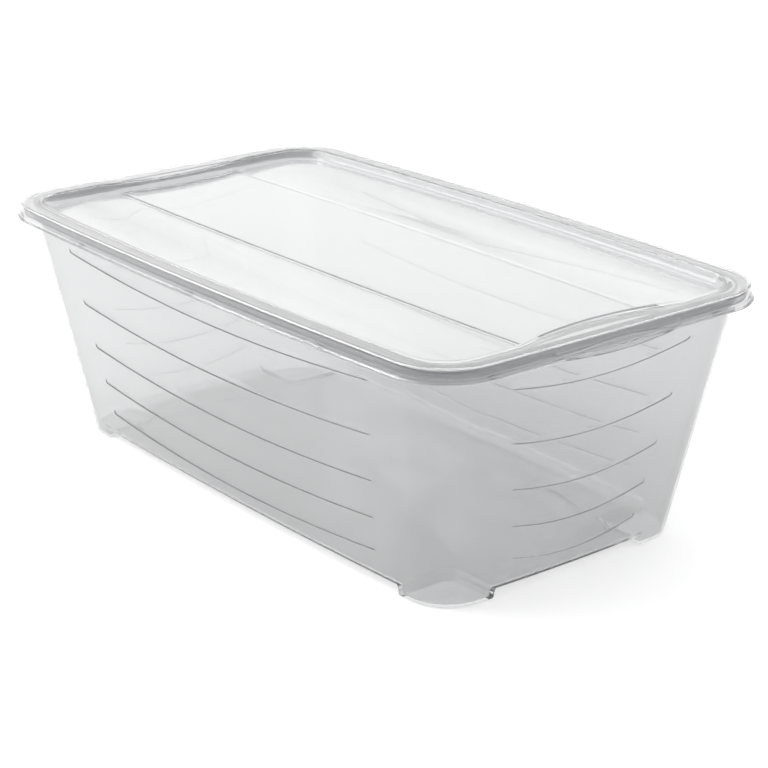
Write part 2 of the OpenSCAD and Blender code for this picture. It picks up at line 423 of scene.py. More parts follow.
@dataclass
class Tub:
    """The drafted tub with its ribs, rim, hem and hollow feet."""

    # Walls, floor and the rounding between them
    height: float = 115.7
    wall: float = 1.4
    floor: float = 3.9
    fillet: float = 2.6
    inner_fillet: float = 2.0
    # How far the rim stands out past the walls, and how far they lean in below it
    rim_over_end: float = 5.6
    rim_over_long: float = 7.0
    end_lean: float = 19.4
    long_lean: float = 18.7
    # Plan at the rim and at the floor
    rim_corner: float = 24.0
    floor_corner: float = 20.4
    floor_long_bow: float = 3.67
    floor_end_bow: float = 3.0
    # Hem and rim; the inset is from the lid's lower lip
    hem_inset: float = 3.3
    hem_wall: float = 1.3
    hem_drop: float = 4.2
    hem_round: float = 0.3
    rim_round: float = 0.7
    # Kept between the rim and the lid's ledge
    seat_gap: float = 0.06
    # Feet: where they begin, how levels dip into them, and their rounding
    foot_x: float = 114.6
    foot_y: float = 42.0
    foot_blend: float = 1.2
    foot_edge: float = 0.9
    foot_round: float = 6.0
    foot_flare: float = 1.7
    # Ribs; the fade is how sharply they end at their tips
    rib_depth: float = 0.6
    rib_sag: float = 5.0
    rib_fade: float = 90.0
    rows: list[RibRow] = field(
        default_factory=lambda: [
            RibRow(17.6, 103.0, 35.2),
            RibRow(33.8, 105.5, 37.8),
            RibRow(52.0, 108.5, 40.6),
            RibRow(74.2, 111.5, 44.5),
            RibRow(99.7, 115.0, 49.5),
        ]
    )

    def __post_init__(self) -> None:
        """Set out the stations and the wall's outlines at the floor and the rim.

        The stations are close together where the feet's sides and the ribs' tips lie.
        """
        fine_end = [0.56 + 0.01 * i for i in range(32)]
        fine_long = [0.79 + 0.006 * i for i in range(30)]
        self.stations = Stations(
            end=tuple([0.08 * i for i in range(7)] + fine_end + [0.93]),
            turn=26,
            long=tuple([0.0625 * i for i in range(13)] + fine_long),
        )
        rim_x = LIP.half_length - self.rim_over_end
        rim_y = LIP.half_width - self.rim_over_long
        low = Outline(
            rim_x - self.end_lean,
            rim_y - self.long_lean,
            self.floor_corner,
            self.floor_long_bow,
            self.floor_end_bow,
        )
        high = Outline(rim_x, rim_y, self.rim_corner, LIP.long_bow, LIP.end_bow)
        self.low_ring = low.ring(self.stations)
        self.high_ring = high.ring(self.stations)

    def wall_point(self, index: int, z: float, out: float) -> Point:
        """Return a point of the outer wall.

        Args:
            index: the station round the tub.
            z: its height.
            out: how far it stands out of the wall's outer face.

        Returns:
            The point in millimetres.
        """
        low, high = self.low_ring[index], self.high_ring[index]
        share = (z - self.floor) / (self.height - self.floor)
        x = low.x + (high.x - low.x) * share + low.nx * out
        y = low.y + (high.y - low.y) * share + low.ny * out
        return x, y, z

    def tips(self, height: float) -> tuple[float, float]:
        """Return the half lengths that a rib would have at a height.

        Args:
            height: height of the rib's ends.

        Returns:
            Half its length on the long walls and on the end walls.
        """
        first, last = self.rows[0], self.rows[-1]
        share = (height - first.height) / (last.height - first.height)
        return (
            first.half_long + (last.half_long - first.half_long) * share,
            first.half_end + (last.half_end - first.half_end) * share,
        )

    def along(self, index: int, height: float) -> float:
        """Return how far a station is along a rib.

        Args:
            index: the station round the tub.
            height: height of the rib's ends.

        Returns:
            0 in the rib's middle, 1 at its tip and more beyond it.
        """
        spot = self.low_ring[index]
        half_long, half_end = self.tips(height)
        x, y, _ = self.wall_point(index, height, 0.0)
        if spot.on_long:
            return abs(x) / half_long
        if spot.on_end:
            return abs(y) / half_end
        return 2.0

    def wall_level(self, height: float, out: float, sag: float, relief: float) -> Level:
        """Return one level of the wall, sagging with the ribs.

        Args:
            height: height at the corners.
            out: offset from the outer face.
            sag: how far it sags at the middle of each side.
            relief: how far the rib's section stands out here.

        Returns:
            The level's points.
        """
        level = []
        for index in range(len(self.low_ring)):
            t = self.along(index, height)
            fade = max(0.0, min(1.0, (1.0 - t) * self.rib_fade))
            drop = sag * max(0.0, 1 - t * t)
            level.append(self.wall_point(index, height - drop, out + relief * fade))
        return level

    def rib_heights(self) -> list[tuple[float, float, float]]:
        """Return the wall's levels from below.

        Returns:
            Each level's height, sag and relief.
        """
        levels = [(height, sag, 0.0) for height, sag in BELOW_RIBS]
        for number, row in enumerate(self.rows):
            for up, relief in RIB_SECTION:
                levels.append((row.height + up, self.rib_sag, relief * self.rib_depth))
            if number + 1 < len(self.rows):
                gap = self.rows[number + 1].height - row.height
                for share in BETWEEN_RIBS:
                    levels.append((row.height + gap * share, self.rib_sag, 0.0))
        levels += [(height, sag, 0.0) for height, sag in ABOVE_RIBS]
        return levels

    def foot_share(self, index: int, edge_x: float, edge_y: float) -> float:
        """Return how far a station is over a foot.

        Args:
            index: the station round the tub.
            edge_x: where the feet begin along the length.
            edge_y: where the feet begin along the width.

        Returns:
            1 over a foot, 0 clear of it and between the two at its edge.
        """
        x, y, _ = self.wall_point(index, self.floor, 0.0)
        spot = self.low_ring[index]
        if spot.on_long:
            return max(0.0, min(1.0, (abs(x) - edge_x) / self.foot_blend + 0.5))
        if spot.on_end:
            return max(0.0, min(1.0, (abs(y) - edge_y) / self.foot_blend + 0.5))
        return 1.0

    def base_levels(
        self, floor: float, ground: float, radius: float, inset: float, edge: float
    ) -> list[Level]:
        """Return the levels under the wall, which dip into the feet.

        Args:
            floor: height of the flat floor between the feet.
            ground: height of the feet's own floor.
            radius: rounding between the floor and the wall.
            inset: how far this skin lies inside the outer face.
            edge: how far the feet's inner edges are moved outward.

        Returns:
            The levels from the ground up to where the wall is straight.
        """
        levels = []
        dips, flat_in = 5, 0.4
        for step, (sine, cosine) in enumerate(quarter_turn(dips - 1)):
            foot = (ground + self.foot_edge * (1 - cosine), self.foot_edge * (1 - sine))
            flat = (
                ground + (floor - ground) * step / dips,
                radius + flat_in * (1 - step / dips),
            )
            levels.append(self._blend_level(foot, flat, inset, edge))
        steps, start = 8, 0.6
        low, top = ground + self.foot_edge, floor + radius
        for step, (sine, cosine) in enumerate(quarter_turn(steps)):
            flat = (floor + radius * (1 - cosine), radius * (1 - sine))
            foot = (low + (top - low) * (step + start) / (steps + start), 0.0)
            levels.append(self._blend_level(foot, flat, inset, edge))
        return levels

    def _blend_level(
        self,
        foot: tuple[float, float],
        flat: tuple[float, float],
        inset: float,
        edge: float,
    ) -> Level:
        """Return a level that dips into the feet.

        Args:
            foot: its height and inset over the feet.
            flat: its height and inset elsewhere.
            inset: how far this skin lies inside the outer face.
            edge: how far the feet's inner edges are moved outward.

        Returns:
            The level's points.
        """
        level = []
        for index in range(len(self.low_ring)):
            share = self.foot_share(index, self.foot_x + edge, self.foot_y + edge)
            z = flat[0] + (foot[0] - flat[0]) * share
            depth = flat[1] + (foot[1] - flat[1]) * share
            level.append(self.wall_point(index, z, -inset - depth))
        return level

    def hem_level(self, z: float, inset: float) -> Level:
        """Return a level of the rim and hem, parallel to the lid's lip."""
        return [(s.x, s.y, z) for s in LIP.drawn_in(inset).ring(self.stations)]

    def shell(self) -> bpy.types.Object:
        """Build the tub's shell: outer skin, rim, hem and inner skin.

        Returns:
            The shell, still without the floor between the feet.
        """
        top, under = self.height - self.seat_gap, self.height - self.wall
        hem_in = self.hem_inset + self.hem_wall
        hem_z = top - self.hem_drop
        edge = self.hem_round
        walls = self.rib_heights()
        levels = self.base_levels(self.floor, 0.0, self.fillet, 0.0, 0.0)
        levels += [self.wall_level(h, 0.0, sag, relief) for h, sag, relief in walls]
        for down, out in ((0.8, 0.0), (0.2, 0.12)):
            levels.append(self.wall_level(under - down, out, 0.0, 0.0))
        for down, inward in ((0.0, 0.35), (0.1, 0.08), (0.4, 0.0)):
            levels.append(self.hem_level(under - down, hem_in + inward))
        levels += [
            self.hem_level(hem_z + edge, hem_in),
            self.hem_level(hem_z, hem_in - edge),
            self.hem_level(hem_z, self.hem_inset + edge),
            self.hem_level(hem_z + edge, self.hem_inset),
        ]
        for sine, cosine in quarter_turn(4):
            z = top - self.rim_round * (1 - sine)
            levels.append(self.hem_level(z, self.hem_inset + self.rim_round * (1 - cosine)))
        for down, out in ((0.0, 0.5), (0.1, 0.18), (0.5, 0.0)):
            levels.append(self.wall_level(top - down, -self.wall + out, 0.0, 0.0))
        levels += [
            self.wall_level(h, -self.wall, sag, relief) for h, sag, relief in reversed(walls)
        ]
        inner = self.base_levels(
            self.floor + self.wall,
            self.wall,
            self.inner_fillet,
            self.wall,
            self.wall + self.foot_blend / 2,
        )
        levels += reversed(inner)
        return new_object(loft(levels), "tub_shell")

    def foot_block(self, inset: float, low: float, high: float, name: str) -> bpy.types.Object:
        """Build the corner block that sets the inner sides of one foot.

        Args:
            inset: how far the block is drawn in.
            low: height of its underside's rounded edge.
            high: height of its top.
            name: the object's name.

        Returns:
            The block in the corner with positive x and y.
        """
        radius = self.foot_round - inset
        below, above, lap, steps = 1.5, 1.0, 0.02, 10
        far_x, far_y = 210.0, 140.0
        section = [(-below, self.foot_flare)]
        for step in range(steps + 1):
            share = step / steps
            up = (high - low + lap) * (1 - math.cos(math.pi * share)) / 2
            section.append((up, self.foot_flare * (1 - 2 * share)))
        section.append((high - low + above, -self.foot_flare))
        levels = []
        for up, lean in section:
            x0, y0 = self.foot_x + inset + lean, self.foot_y + inset + lean
            z = low + up
            level = []
            for step in range(steps + 1):
                angle = math.pi + math.pi / 2 * step / steps
                x = x0 + radius + radius * math.cos(angle)
                level.append((x, y0 + radius + radius * math.sin(angle), z))
            level += [(far_x, y0, z), (far_x, far_y, z), (x0, far_y, z)]
            levels.append(level)
        return new_object(loft(levels), name)

    def cross(self, inset: float, low: float, high: float, depth: float) -> bpy.types.Object:
        """Build the plate between the four feet, as a solid.

        Args:
            inset: how far the feet's blocks are drawn in.
            low: underside of the plate.
            high: top of the plate.
            depth: how far the plate's edge lies inside the wall's outer face.

        Returns:
            The plate with the four corner blocks taken out.
        """
        levels = []
        for z in (low, high):
            level = []
            for index in range(len(self.low_ring)):
                x, y, _ = self.wall_point(index, self.floor, -depth)
                level.append((x, y, z))
            levels.append(level)
        plate = new_object(loft(levels), "plate")
        ground = 0.0 if inset == 0.0 else self.wall
        top = self.floor if inset == 0.0 else self.floor + self.wall
        for sx in (1, -1):
            for sy in (1, -1):
                block = self.foot_block(inset, ground, top, "foot_block")
                block.data.transform(Matrix.Diagonal((sx, sy, 1, 1)))
                if sx * sy < 0:
                    block.data.flip_normals()
                combine(plate, block, Cut.TAKE)
        return plate

    def build(self) -> bpy.types.Object:
        """Build the tub as one closed piece that rides on the tub's body.

        Returns:
            The finished object.
        """
        piece = self.shell()
        piece.name = "tub_body"
        inside = self.cross(
            inset=self.wall, low=self.wall / 2, high=self.floor + self.wall, depth=3.0
        )
        combine(piece, inside, Cut.ADD)
        # A hair above the floor, so that no two faces lie on each other
        beneath = self.cross(inset=0.0, low=-0.5, high=self.floor + 0.012, depth=-12.0)
        combine(piece, beneath, Cut.TAKE)
        finish_shading(piece)
        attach(piece, "tub")
        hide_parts("tub")
        return piece


# --------------------------------------------------------------------------
# Lid
# --------------------------------------------------------------------------


@dataclass
class Lid:
    """The snap-over lid with its skirt, lip, ledge, sunken panel and lifting tabs."""

    # Overall height, skirt and thickness
    height: float = 117.0
    skirt: float = 7.2
    wall: float = 1.3
    # Ledge, wall of the recess and sunken panel
    ledge: float = 11.4
    end_extra: float = 0.5
    lean: float = 2.0
    recess_turn: float = 0.9
    panel_depth: float = 5.2
    # Lower lip and skirt
    lip_out: float = 0.8
    lip_high: float = 1.3
    skirt_lean: float = 0.7
    # Rounding of the edges, from the outside inward
    edge_round: float = 1.1
    ledge_round: float = 0.8
    panel_round: float = 1.3
    recess_round: float = 0.9
    # Inward swell of the ledge at each end
    swell: float = 6.8
    swell_half: float = 45.0
    # Raised band along the panel; the pinch draws it in towards the ends
    band_half: float = 38.7
    band_rise: float = 0.9
    band_slope: float = 0.8
    band_pinch: float = 2.7
    band_round: float = 0.55
    # Shallow pad in each swell
    pad_half: float = 33.0
    pad_depth: float = 0.45
    # Arched scoop in the skirt's face at each end
    scoop_half: float = 35.0
    scoop_height: float = 4.0
    scoop_depth: float = 0.25
    scoop_round: float = 2.2
    # Lifting tab below it; the taper is the share it loses towards its tips
    tab_half: float = 30.0
    tab_out: float = 1.8
    tab_drop: float = 1.2
    tab_rise: float = 1.8
    tab_round: float = 0.4
    tab_taper: float = 0.97
    # Snap nubs inside the skirt
    nub_x: tuple[float, ...] = (-92.0, 0.0, 92.0)
    nub_y: tuple[float, ...] = (-62.0, 62.0)
    nub_half: float = 6.0
    nub_round: float = 0.85
    nub_up: float = 0.95

    def __post_init__(self) -> None:
        """Set out the stations round the lid."""
        end_steps, long_steps = 40, 34
        self.stations = Stations(
            end=tuple(i / end_steps for i in range(end_steps)),
            turn=30,
            long=tuple(i / long_steps for i in range(long_steps)),
        )
        self.panel = self.height - self.panel_depth
        self.low_lip = self.height - self.skirt

    def skirt_level(self, z: float, inset: float) -> Level:
        """Return a level of the skirt, drawn in from the lower lip."""
        return [(s.x, s.y, z) for s in LIP.drawn_in(inset).ring(self.stations)]

    def recess_outline(self, inset: float) -> Outline:
        """Return the outline of the recess.

        Args:
            inset: how far it is drawn in from the lower lip.

        Returns:
            The outline, with the swells at its ends.
        """
        return Outline(
            LIP.half_length - inset - self.end_extra,
            LIP.half_width - inset,
            LIP.corner - inset + (inset - self.ledge) * self.recess_turn,
            LIP.long_bow,
            LIP.end_bow,
            self.swell,
            self.swell_half,
        )

    def recess_level(self, z: float, inset: float) -> Level:
        """Return a level of the recess wall."""
        return [(s.x, s.y, z) for s in self.recess_outline(inset).ring(self.stations)]

    def shell(self) -> bpy.types.Object:
        """Build the lid without its band, pads, scoops and tabs.

        Returns:
            The shell.
        """
        low = self.ledge + self.lean
        middle = (low + self.ledge) / 2
        under = self.height - self.wall
        inner = self.lip_out + self.wall
        inner_top = inner + self.skirt_lean
        outer_top = self.lip_out + self.skirt_lean
        base = self.panel - self.wall
        lip, lip_top = self.low_lip, self.low_lip + self.lip_high
        levels = []
        for sine, cosine in quarter_turn(5):
            z = base + self.panel_round * (1 - cosine)
            levels.append(
                self.recess_level(z, low - self.wall + self.panel_round * (1 - sine))
            )
        levels.append(self.recess_level(base + 3.2, middle - self.wall + 0.12))
        for down, inward in ((0.7, 0.06), (0.2, -0.2), (0.0, -0.7)):
            levels.append(self.recess_level(under - down, self.ledge - self.wall + inward))
        for down, inward in ((0.0, 0.7), (0.2, 0.2), (0.7, 0.0)):
            levels.append(self.skirt_level(under - down, inner_top + inward))
        # The skirt's inner foot and the lip, from inside to outside
        profile = (
            (lip_top, inner + 0.1), (lip + 0.25, inner), (lip, inner - 0.25), (lip, 0.45),
            (lip + 0.14, 0.12), (lip + 0.45, 0.0), (lip_top - 0.42, 0.0),
            (lip_top - 0.12, 0.14), (lip_top, 0.42), (lip_top + 0.06, self.lip_out - 0.15),
            (lip_top + 0.25, self.lip_out),
        )  # fmt: skip
        levels += [self.skirt_level(z, inset) for z, inset in profile]
        for sine, cosine in quarter_turn(7):
            z = self.height - self.edge_round * (1 - sine)
            levels.append(self.skirt_level(z, outer_top + self.edge_round * (1 - cosine)))
        for sine, cosine in quarter_turn(5):
            z = self.height - self.ledge_round * (1 - cosine)
            levels.append(self.recess_level(z, self.ledge - self.ledge_round * (1 - sine)))
        levels.append(self.recess_level(self.panel + 2.9, middle - 0.05))
        for sine, cosine in quarter_turn(5):
            z = self.panel + self.recess_round * (1 - sine)
            levels.append(self.recess_level(z, low - 0.1 + self.recess_round * (1 - cosine)))
        return new_object(loft(levels), "lid_shell")

    def band_plate(self, inset: float, low: float, high: float) -> bpy.types.Object:
        """Build the raised band along the panel as a solid.

        Args:
            inset: how far it is drawn in.
            low: height of its underside.
            high: height of its top.

        Returns:
            The band.
        """
        under_wall = 0.7
        outline = self.recess_outline(self.ledge + self.lean - under_wall + inset)
        bm = bmesh.new()
        bmesh.ops.create_grid(bm, x_segments=60, y_segments=28, size=1.0)
        side = self.band_half - inset
        for vert in bm.verts:
            y_flat = vert.co.y * side
            end = outline.half_x - outline.end_bow * (y_flat / outline.half_y) ** 2
            end -= outline.swell * max(0.0, 1 - (y_flat / outline.swell_half) ** 2)
            x = vert.co.x * end
            y = vert.co.y * (side - self.band_pinch * (x / LIP.half_length) ** 2)
            vert.co = Vector((x, y, low)) * MM
        grown = bmesh.ops.extrude_face_region(bm, geom=bm.faces[:])
        lifted = [g for g in grown["geom"] if isinstance(g, bmesh.types.BMVert)]
        bmesh.ops.translate(bm, verts=lifted, vec=(0, 0, (high - low) * MM))
        for vert in lifted:
            vert.co.y *= 1 - self.band_slope / self.band_half
        top = [g for g in grown["geom"] if isinstance(g, bmesh.types.BMFace)]
        known = set(top)
        rim = [e for face in top for e in face.edges if sum(f in known for f in e.link_faces) == 1]
        bmesh.ops.bevel(
            bm, geom=rim, offset=self.band_round * MM, offset_type="OFFSET", segments=4,
            profile=0.5, affect="EDGES", material=-1, clamp_overlap=True,
        )  # fmt: skip
        bmesh.ops.recalc_face_normals(bm, faces=bm.faces[:])
        return new_object(bm, "band_plate")

    def pad_cutter(self, side: int) -> bpy.types.Object:
        """Build the shallow lens that is sunk into the swell of one end.

        Args:
            side: 1 for the end at positive x, -1 for the other.

        Returns:
            The lens as a solid.
        """
        edge = LIP.half_length - self.ledge - self.end_extra
        steps, margin, above = 40, 1.0, 1.0
        half = self.pad_half
        levels = []
        for z in (self.height - self.pad_depth, self.height + above):
            level = []
            for step in range(steps + 1):
                y = half * (1 - 2 * step / steps)
                inward = self.swell * (1 - (y / self.swell_half) ** 2) - margin
                level.append((side * (edge - inward), side * y, z))
            level += [(side * edge, -side * half, z), (side * edge, side * half, z)]
            levels.append(level)
        return new_object(loft(levels), "pad_cutter")

    def scoop_cutter(self, side: int) -> bpy.types.Object:
        """Build the arch that is scooped out of the skirt's face at one end.

        Args:
            side: 1 for the end at positive x, -1 for the other.

        Returns:
            The arch as a solid.
        """
        radius, steps, hair = self.scoop_round, 8, 0.01
        low, high = self.low_lip + self.lip_high, self.low_lip + self.scoop_height
        face = LIP.half_length - self.lip_out - self.skirt_lean / 2 - self.scoop_depth
        profile = [(-self.scoop_half, low)]
        for step in range(steps + 1):
            angle = math.pi - math.pi / 2 * step / steps
            y = -self.scoop_half + radius + radius * math.cos(angle)
            profile.append((y, high - radius + radius * math.sin(angle)))
        profile += [(-y, z) for y, z in reversed(profile)]
        levels = []
        # The arch widens from its floor to its mouth
        for x, grow in ((face, 0.0), (face + 0.12, 0.2), (face + 2.0, 0.3)):
            level = []
            for y, z in reversed(profile):
                spread = 1 + grow / self.scoop_half
                lift = grow if z > low + hair else 0.0
                level.append((side * x, side * y * spread, z + lift))
            levels.append(level)
        return new_object(loft(levels), "scoop_cutter")

    def tab_section(self, x: float, s: float) -> list[tuple[float, float]]:
        """Return the section of a lifting tab.

        Args:
            x: the lip's face here.
            s: size of the section, as a share of the one in the middle.

        Returns:
            Points as distance along the length and height.
        """
        edge, out = self.tab_round, self.tab_out - self.tab_round
        root, inner = self.lip_out * 0.9, self.lip_out + self.wall / 2
        low = self.low_lip - self.tab_drop * s
        top = self.low_lip + self.lip_high + self.tab_rise * s
        bottom, dip, turns, curve = self.low_lip + 0.02, 0.25, 6, 2.2
        section = [(x - inner, bottom), (x - inner * 0.4, bottom - self.tab_drop * s * dip)]
        for turn in range(turns + 1):
            angle = -math.pi / 2 + math.pi * turn / turns
            round_x = x + (out + edge * math.cos(angle)) * s
            section.append((round_x, low + edge + edge * math.sin(angle)))
        start = 2 * edge
        for share in (0.25, 0.5, 0.75, 1.0):
            reach = (out * s + root) * (1 - share) ** curve
            section.append((x - root + reach, low + start + (top - low - start) * share))
        section.append((x - inner, top))
        return section

    def tab(self, side: int) -> bpy.types.Object:
        """Build the curved lifting tab that flares out of the lip at one end.

        Args:
            side: 1 for the end at positive x, -1 for the other.

        Returns:
            The tab as a solid.
        """
        steps = 60
        levels = []
        for step in range(steps + 1):
            t = 1 - 2 * step / steps
            y = self.tab_half * t
            x = LIP.half_length - LIP.end_bow * (y / LIP.half_width) ** 2
            section = self.tab_section(x, 1 - self.tab_taper * t * t)
            levels.append([(side * px, side * y, pz) for px, pz in section])
        return new_object(loft(levels), "lifting_tab")

    def nub(self, x: float, y: float, along_x: bool) -> bpy.types.Object:
        """Build one snap nub inside the skirt.

        Args:
            x: its middle along the length.
            y: its middle along the width.
            along_x: whether it runs along the length.

        Returns:
            The nub, a short bar with round ends.
        """
        bm = bmesh.new()
        bmesh.ops.create_uvsphere(bm, u_segments=20, v_segments=12, radius=self.nub_round * MM)
        bmesh.ops.rotate(bm, verts=bm.verts[:], matrix=Matrix.Rotation(math.pi / 2, 3, "Y"))
        for vert in bm.verts:
            if abs(vert.co.x) > 1e-7:
                vert.co.x += math.copysign(self.nub_half * MM, vert.co.x)
        if not along_x:
            bmesh.ops.rotate(bm, verts=bm.verts[:], matrix=Matrix.Rotation(math.pi / 2, 3, "Z"))
        place = Vector((x, y, self.low_lip + self.nub_up)) * MM
        bmesh.ops.translate(bm, verts=bm.verts[:], vec=place)
        return new_object(bm, "nub")

    def build(self) -> bpy.types.Object:
        """Build the lid as one closed piece that rides on the lid's body.

        Returns:
            The finished object.
        """
        piece = self.shell()
        piece.name = "lid_cover"
        base, rise = self.panel - self.wall, self.band_rise
        combine(piece, self.band_plate(0.0, self.panel - 0.6, self.panel + rise), Cut.ADD)
        combine(piece, self.band_plate(1.2, base - 1.0, base + rise), Cut.TAKE)
        for side in (1, -1):
            combine(piece, self.pad_cutter(side), Cut.TAKE)
            combine(piece, self.scoop_cutter(side), Cut.TAKE)
            combine(piece, self.tab(side), Cut.ADD)
        face_y = LIP.half_width - self.lip_out - self.wall
        face_x = LIP.half_length - self.lip_out - self.wall
        for side in (1, -1):
            for x in self.nub_x:
                y = face_y - LIP.long_bow * (x / LIP.half_length) ** 2
                combine(piece, self.nub(x, side * y, True), Cut.ADD)
            for y in self.nub_y:
                x = face_x - LIP.end_bow * (y / LIP.half_width) ** 2
                combine(piece, self.nub(side * x, y, False), Cut.ADD)
        finish_shading(piece)
        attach(piece, "lid")
        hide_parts("lid")
        return piece


# --------------------------------------------------------------------------
# Finishes
# --------------------------------------------------------------------------


class Nodes:
    """Small helper that adds and links nodes in one tree."""

    def __init__(self, tree: bpy.types.NodeTree) -> None:
        """Keep the tree that nodes are added to."""
        self.tree = tree

    def add(self, kind: str, **values: object) -> bpy.types.Node:
        """Add a node and set its attributes.

        Args:
            kind: the node's type name.
            **values: attributes to set.

        Returns:
            The node.
        """
        node = self.tree.nodes.new(kind)
        for name, value in values.items():
            setattr(node, name, value)
        return node

    def link(self, source: bpy.types.NodeSocket, target: bpy.types.NodeSocket) -> None:
        """Link an output to an input."""
        self.tree.links.new(source, target)

    def math(self, operation: str, *given: bpy.types.NodeSocket | float) -> bpy.types.NodeSocket:
        """Add a math node.

        Args:
            operation: what it does.
            *given: its inputs in order, each a socket to link or a number to set.

        Returns:
            The node's output.
        """
        node = self.add("ShaderNodeMath", operation=operation)
        for target, value in zip(node.inputs, given):
            if isinstance(value, bpy.types.NodeSocket):
                self.link(value, target)
            else:
                target.default_value = value
        return node.outputs["Value"]

    def ramp(
        self, source: bpy.types.NodeSocket, start: float, stop: float, shape: Ramp
    ) -> bpy.types.Node:
        """Add a ramp from 0 to 1.

        Args:
            source: the value that is ramped.
            start: the value that gives 0.
            stop: the value that gives 1.
            shape: how it rises between them.

        Returns:
            The node.
        """
        node = self.add("ShaderNodeMapRange", interpolation_type=shape.value)
        node.inputs["From Min"].default_value = start
        node.inputs["From Max"].default_value = stop
        self.link(source, node.inputs["Value"])
        return node

    def noise(
        self,
        place: bpy.types.NodeSocket,
        stretch: tuple[float, float, float],
        turn: tuple[float, float, float],
        detail: float,
    ) -> bpy.types.NodeSocket:
        """Add a noise pattern.

        Args:
            place: the coordinates that it follows.
            stretch: how many times it repeats per metre, on each axis.
            turn: its turn about each axis, in radians.
            detail: how fine it is.

        Returns:
            The pattern's value.
        """
        mapping = self.add("ShaderNodeMapping")
        mapping.inputs["Rotation"].default_value = turn
        mapping.inputs["Scale"].default_value = stretch
        self.link(place, mapping.inputs["Vector"])
        noise = self.add("ShaderNodeTexNoise")
        noise.inputs["Scale"].default_value = 1.0
        noise.inputs["Detail"].default_value = detail
        self.link(mapping.outputs["Vector"], noise.inputs["Vector"])
        return noise.outputs["Fac"]


def moulded_skin() -> bpy.types.ShaderNodeTree:
    """Return the shared group for a moulded skin, building it on first use.

    Returns:
        A group with Tone, Haze and Height outputs that vary over the surface, and a mask of the
        outward upright faces, where the materials paint shade.
    """
    known = bpy.data.node_groups.get("moulded_skin")
    if known:
        return known
    group = bpy.data.node_groups.new("moulded_skin", "ShaderNodeTree")
    face = group.interface
    for name in ("Flow", "Scuff", "Haze"):
        socket = face.new_socket(name, in_out="INPUT", socket_type="NodeSocketFloat")
        socket.min_value, socket.max_value = 0.0, 1.0
    for name in ("Tone", "Haze", "Height", "Side Shade"):
        face.new_socket(name, in_out="OUTPUT", socket_type="NodeSocketFloat")
    nodes = Nodes(group)
    given = nodes.add("NodeGroupInput")
    result = nodes.add("NodeGroupOutput")
    place = nodes.add("ShaderNodeTexCoord")
    spot, normal = place.outputs["Object"], place.outputs["Normal"]

    # Broad, faint waves and sparse, long scuffs
    flow = nodes.noise(spot, (12.0, 12.0, 42.0), (0.0, 0.0, 0.0), 2.0)
    waved = nodes.math("MULTIPLY", flow, given.outputs["Flow"])
    scratch = nodes.noise(spot, (30.0, 900.0, 300.0), (0.3, 0.2, 0.7), 1.0)
    lines = nodes.ramp(scratch, 0.68, 0.78, Ramp.STRAIGHT)
    scuffed = nodes.math("MULTIPLY", lines.outputs["Result"], given.outputs["Scuff"])
    nodes.link(nodes.math("SUBTRACT", 1.0, waved), result.inputs["Tone"])
    nodes.link(nodes.math("ADD", given.outputs["Haze"], scuffed), result.inputs["Haze"])
    nodes.link(nodes.math("SUBTRACT", waved, scuffed), result.inputs["Height"])

    # Painted shade mask: 1 on upright faces that look away from the middle of the box, which the
    # materials tint darker
    split = nodes.add("ShaderNodeSeparateXYZ")
    nodes.link(normal, split.inputs["Vector"])
    level = nodes.math("ABSOLUTE", split.outputs["Z"])
    side_shade = nodes.ramp(level, 0.75, 0.25, Ramp.SMOOTH)
    outward = nodes.add("ShaderNodeVectorMath", operation="DOT_PRODUCT")
    nodes.link(spot, outward.inputs[0])
    nodes.link(normal, outward.inputs[1])
    outer = nodes.ramp(outward.outputs["Value"], 0.0, 0.05, Ramp.SMOOTH)
    side_shade_mask = nodes.math("MULTIPLY", side_shade.outputs["Result"], outer.outputs["Result"])
    nodes.link(side_shade_mask, result.inputs["Side Shade"])
    return group


